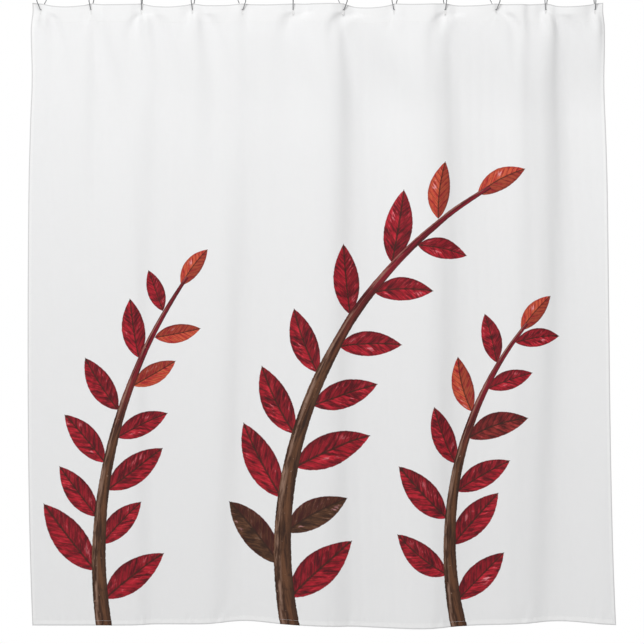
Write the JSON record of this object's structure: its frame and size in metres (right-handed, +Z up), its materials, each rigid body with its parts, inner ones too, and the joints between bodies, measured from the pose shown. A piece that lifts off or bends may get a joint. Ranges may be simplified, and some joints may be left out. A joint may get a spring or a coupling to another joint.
{
  "type": "shower curtain",
  "caption": "White fabric shower curtain with stitched buttonholes, hanging in soft folds from pear-shaped wire hooks.",
  "frame": {"origin": "on the axis of the rod that the hooks hang on, at the middle of the curtain's width", "axes": "+Z up, -Y the front of the cloth, +X to the right of someone facing the front, along the rod"},
  "size_m": [1.7797, 0.0892, 1.9457],
  "materials": {
    "curtain_cloth": "matte",
    "edge_thread": "matte",
    "hook_steel": "polished"
  },
  "bodies": {
    "root": {"curtain_panel": "curtain_cloth", "buttonhole_edge_01": "edge_thread", "buttonhole_edge_02": "edge_thread", "buttonhole_edge_03": "edge_thread", "buttonhole_edge_04": "edge_thread", "buttonhole_edge_05": "edge_thread", "buttonhole_edge_06": "edge_thread", "buttonhole_edge_07": "edge_thread", "buttonhole_edge_08": "edge_thread", "buttonhole_edge_09": "edge_thread", "buttonhole_edge_10": "edge_thread", "buttonhole_edge_11": "edge_thread", "buttonhole_edge_12": "edge_thread", "hook_01": "hook_steel", "hook_02": "hook_steel", "hook_03": "hook_steel", "hook_04": "hook_steel", "hook_05": "hook_steel", "hook_06": "hook_steel", "hook_07": "hook_steel", "hook_08": "hook_steel", "hook_09": "hook_steel", "hook_10": "hook_steel", "hook_11": "hook_steel", "hook_12": "hook_steel"}
  },
  "joints": []
}
